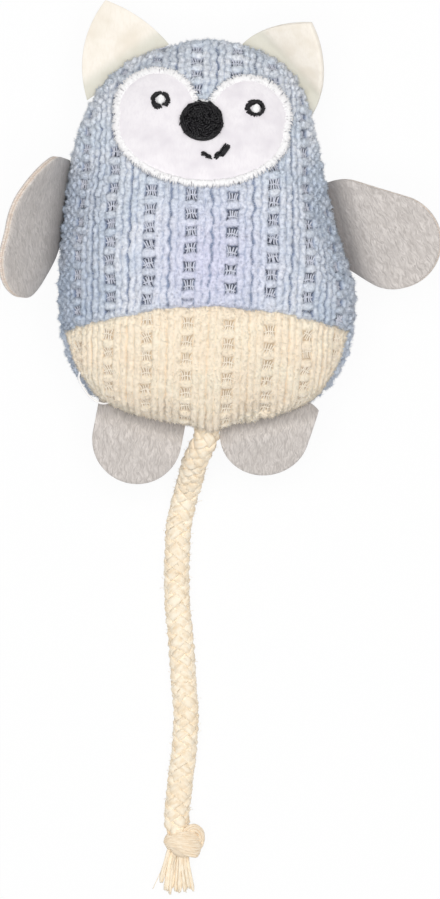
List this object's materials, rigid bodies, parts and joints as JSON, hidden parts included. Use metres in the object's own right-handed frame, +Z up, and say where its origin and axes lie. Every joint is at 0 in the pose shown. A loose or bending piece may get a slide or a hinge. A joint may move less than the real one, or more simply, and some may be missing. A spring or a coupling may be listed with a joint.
{
  "type": "catnip mouse toy",
  "caption": "Stuffed knit cat toy lying on its back: blue knit body with cream belly, white embroidered face, felt ears, flat plush limbs and a knotted rope tail.",
  "frame": {"origin": "on the surface that the toy lies on, in the flat of its back, under the fullest part of the body", "axes": "+Z up out of the face, +Y from the tail to the head, +X the viewer's right as the face is seen"},
  "size_m": [0.1118, 0.2238, 0.0435],
  "materials": {
    "blue_chenille": "fuzzy matte knit",
    "cream_chenille": "fuzzy matte knit",
    "white_felt": "matte felt",
    "white_fleece": "matte short fleece",
    "white_thread": "soft satin thread",
    "black_thread": "soft satin thread",
    "grey_plush": "matte short plush",
    "cotton_rope": "matte braided cotton",
    "polyester_fill": "loose fibre",
    "pouch_tissue": "matte non-woven",
    "dried_catnip": "dry crumbled herb"
  },
  "bodies": {
    "torso": {"front_panel": "blue_chenille", "belly_panel": "cream_chenille", "back_panel": "blue_chenille", "round_seam_thread": "white_thread", "belly_seam_thread": "white_thread", "filling_front": "polyester_fill", "filling_back": "polyester_fill", "pouch_front": "pouch_tissue", "pouch_back": "pouch_tissue", "catnip": "dried_catnip", "face_patch": "white_fleece", "face_border": "white_thread", "eye_left_ring": "black_thread", "eye_left_dot": "white_thread", "eye_right_ring": "black_thread", "eye_right_dot": "white_thread", "nose": "black_thread", "mouth_left": "black_thread", "mouth_right": "black_thread"},
    "ear_left_flap": {"ear_left": "white_felt"},
    "ear_right_flap": {"ear_right": "white_felt"},
    "arm_left_flap": {"arm_left_front": "grey_plush", "arm_left_back": "grey_plush"},
    "arm_right_flap": {"arm_right_front": "grey_plush", "arm_right_back": "grey_plush"},
    "leg_left_flap": {"leg_left_front": "grey_plush", "leg_left_back": "grey_plush"},
    "leg_right_flap": {"leg_right_front": "grey_plush", "leg_right_back": "grey_plush"},
    "tail": {"tail_rope": "cotton_rope", "tail_knot": "cotton_rope", "tail_fringe": "cotton_rope"}
  },
  "joints": [
    {"name": "ear_left_fold", "type": "hinge", "parent": "torso", "child": "ear_left_flap", "pos_m": [-0.02154, 0.0479, 0.0195], "axis": [0.8253, 0.5647, 0], "range_deg": [-50, 70], "stiffness_Nm_per_rad": 0.0001},
    {"name": "ear_right_fold", "type": "hinge", "parent": "torso", "child": "ear_right_flap", "pos_m": [0.02193, 0.04604, 0.0195], "axis": [0.6755, -0.7374, 0], "range_deg": [-90, 30], "stiffness_Nm_per_rad": 0.0001},
    {"name": "arm_left_fold", "type": "hinge", "parent": "torso", "child": "arm_left_flap", "pos_m": [-0.03701, 0.0125, 0.0195], "axis": [0.1177, 0.993, 0], "range_deg": [-110, 15], "stiffness_Nm_per_rad": 0.0005},
    {"name": "arm_right_fold", "type": "hinge", "parent": "torso", "child": "arm_right_flap", "pos_m": [0.03401, 0.00581, 0.0195], "axis": [0.2722, -0.9622, 0], "range_deg": [-75, 45], "stiffness_Nm_per_rad": 0.0005},
    {"name": "leg_left_fold", "type": "hinge", "parent": "torso", "child": "leg_left_flap", "pos_m": [-0.01898, -0.04223, 0.0195], "axis": [-0.961, 0.2765, 0], "range_deg": [-45, 70], "stiffness_Nm_per_rad": 0.0005},
    {"name": "leg_right_fold", "type": "hinge", "parent": "torso", "child": "leg_right_flap", "pos_m": [0.01517, -0.04312, 0.0195], "axis": [-0.9835, -0.1812, 0], "range_deg": [-35, 80], "stiffness_Nm_per_rad": 0.0005},
    {"name": "tail_lift", "type": "hinge", "parent": "torso", "child": "tail", "pos_m": [-0.00023, -0.0463, 0.0195], "axis": [-1, 0, 0], "range_deg": [-30, 75]}
  ]
}
